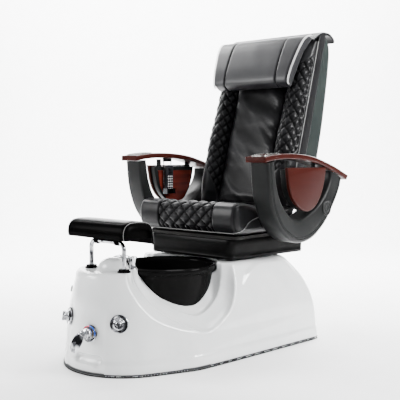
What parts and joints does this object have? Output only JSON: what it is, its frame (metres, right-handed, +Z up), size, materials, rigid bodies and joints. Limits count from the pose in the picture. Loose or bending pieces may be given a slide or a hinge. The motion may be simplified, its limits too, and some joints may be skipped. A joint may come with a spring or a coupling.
{
  "type": "pedicure spa chair",
  "caption": "Pedicure spa chair: moulded tub with a round foot bowl, lift-up footrest and a sliding, reclining massage seat with swing-up arms.",
  "frame": {"origin": "on the floor, under the centre of the foot bowl", "axes": "+Z up, -Y towards the nose of the tub, where the sitter faces, +X to the sitter's left"},
  "size_m": [0.864, 1.469, 1.4336],
  "materials": {
    "white_shell": "gloss gelcoat",
    "edge_trim": "satin",
    "floor_pan": "matte",
    "bowl_black": "high gloss",
    "chrome_parts": "polished",
    "pipe_white": "satin",
    "motor_grey": "satin",
    "brass_parts": "satin",
    "hot_red": "gloss",
    "cold_blue": "gloss",
    "frame_steel": "satin black",
    "zinc_steel": "satin",
    "footrest_black": "high gloss",
    "skirt_black": "gloss",
    "plywood": "raw",
    "black_leather": "semi-gloss",
    "back_cover": "satin",
    "arm_satin": "satin",
    "mahogany": "gloss lacquer",
    "tray_silver": "satin",
    "roller_rubber": "matte",
    "handset_black": "satin"
  },
  "bodies": {
    "base": {"tub_shell": "white_shell", "base_trim": "edge_trim", "floor_board": "floor_pan", "bowl": "bowl_black", "bowl_drain": "chrome_parts", "drain_pipe": "pipe_white", "jet_head": "chrome_parts", "jet_motor": "motor_grey", "control_plates": "chrome_parts", "hot_mark": "hot_red", "cold_mark": "cold_blue", "mixer_body": "brass_parts", "water_inlets": "brass_parts", "post_collars": "footrest_black", "post_sleeves": "frame_steel", "filler_spout": "chrome_parts", "sprayer_cradle": "chrome_parts", "slide_rails": "zinc_steel", "slide_motor": "motor_grey", "service_panel": "white_shell", "panel_screws": "zinc_steel"},
    "mixer_cap": {"mixer_cap": "chrome_parts"},
    "mixer_lever": {"mixer_lever": "chrome_parts"},
    "jet_knob": {"jet_knob": "chrome_parts"},
    "drain_knob": {"drain_knob": "chrome_parts"},
    "air_knob": {"air_knob": "chrome_parts"},
    "drain_stopper": {"drain_stopper": "chrome_parts"},
    "sprayer": {"sprayer": "chrome_parts"},
    "lift_frame": {"lift_frame": "chrome_parts"},
    "footrest": {"footrest_shell": "footrest_black"},
    "seat": {"seat_skirt": "skirt_black", "seat_frame": "frame_steel", "slide_runners": "zinc_steel", "slide_rod": "chrome_parts", "seat_board": "plywood", "seat_cushion": "black_leather", "recline_actuator": "motor_grey", "arm_pivots": "frame_steel"},
    "recline_rod": {"recline_rod": "chrome_parts"},
    "back": {"back_frame": "frame_steel", "back_shell": "back_cover", "back_pad": "black_leather", "back_bolsters": "black_leather", "head_pillow": "black_leather", "massage_rails": "zinc_steel"},
    "carriage": {"massage_carriage": "motor_grey"},
    "rollers": {"kneading_rollers": "roller_rubber"},
    "left_arm": {"left_arm_shell": "arm_satin", "left_arm_board": "mahogany", "left_arm_panel": "mahogany", "left_arm_tray": "tray_silver", "left_arm_cap": "arm_satin"},
    "right_arm": {"right_arm_shell": "arm_satin", "right_arm_board": "mahogany", "right_arm_panel": "mahogany", "right_arm_tray": "tray_silver", "right_arm_cap": "arm_satin", "remote_holder": "chrome_parts"},
    "remote": {"remote_handset": "handset_black"},
    "remote_button": {"remote_button": "chrome_parts"}
  },
  "joints": [
    {"name": "mixer_turn", "type": "hinge", "parent": "base", "child": "mixer_cap", "pos_m": [0.04698, -0.48722, 0.165], "axis": [0.1895, -0.9747, 0.1187], "range_deg": [-35, 70]},
    {"name": "mixer_lift", "type": "hinge", "parent": "mixer_cap", "child": "mixer_lever", "pos_m": [0.0557, -0.53205, 0.17046], "axis": [-0.8774, -0.1138, 0.4661], "range_deg": [0, 25]},
    {"name": "jet_knob_turn", "type": "hinge", "parent": "base", "child": "jet_knob", "pos_m": [0.15285, -0.43042, 0.208], "axis": [0.6347, -0.7564, 0.1584], "range_deg": [0, 270]},
    {"name": "drain_knob_turn", "type": "hinge", "parent": "base", "child": "drain_knob", "pos_m": [-0.10424, -0.46199, 0.208], "axis": [-0.4334, -0.8886, 0.1503], "range_deg": [0, 90]},
    {"name": "air_knob_turn", "type": "hinge", "parent": "base", "child": "air_knob", "pos_m": [-0.1931, -0.35617, 0.29], "axis": [-0.8613, -0.458, 0.22], "range_deg": [0, 270]},
    {"name": "stopper_lift", "type": "slide", "parent": "base", "child": "drain_stopper", "axis": [0, 0, 1], "range_m": [0, 0.0121]},
    {"name": "sprayer_pull", "type": "slide", "parent": "base", "child": "sprayer", "axis": [0, 0, 1], "range_m": [0, 0.08]},
    {"name": "footrest_lift", "type": "slide", "parent": "base", "child": "lift_frame", "axis": [0, 0, 1], "range_m": [0, 0.1]},
    {"name": "footrest_flip", "type": "hinge", "parent": "lift_frame", "child": "footrest", "pos_m": [0, -0.35, 0.51], "axis": [1, 0, 0], "range_deg": [0, 60]},
    {"name": "seat_slide", "type": "slide", "parent": "base", "child": "seat", "axis": [0, -1, 0], "range_m": [-0.03, 0.08]},
    {"name": "recline", "type": "hinge", "parent": "seat", "child": "back", "pos_m": [0, 0.59, 0.56], "axis": [-1, 0, 0], "range_deg": [0, 35]},
    {"name": "recline_rod_slide", "type": "slide", "parent": "seat", "child": "recline_rod", "axis": [0, -1, 0], "range_m": [0, 0.0682]},
    {"name": "massage_travel", "type": "slide", "parent": "back", "child": "carriage", "axis": [0, 0.2924, 0.9563], "range_m": [0, 0.38]},
    {"name": "kneading", "type": "hinge", "parent": "carriage", "child": "rollers", "pos_m": [0, 0.64865, 0.81069], "axis": [1, 0, 0], "continuous": true},
    {"name": "left_arm_lift", "type": "hinge", "parent": "seat", "child": "left_arm", "pos_m": [0.36, 0.618, 0.61], "axis": [-1, 0, 0], "range_deg": [0, 60]},
    {"name": "right_arm_lift", "type": "hinge", "parent": "seat", "child": "right_arm", "pos_m": [-0.36, 0.618, 0.61], "axis": [-1, 0, 0], "range_deg": [0, 60]},
    {"name": "remote_pull", "type": "slide", "parent": "right_arm", "child": "remote", "axis": [0, 0, 1], "range_m": [0, 0.026]},
    {"name": "remote_press", "type": "slide", "parent": "remote", "child": "remote_button", "axis": [-1, 0, 0], "range_m": [0, 0.0012], "stiffness_N_per_m": 400}
  ],
  "couplings": [
    {"joint": "stopper_lift", "follows": "drain_knob_turn", "m_per_rad": 0.0076394},
    {"joint": "recline_rod_slide", "follows": "recline", "m_per_rad": 0.11149}
  ]
}
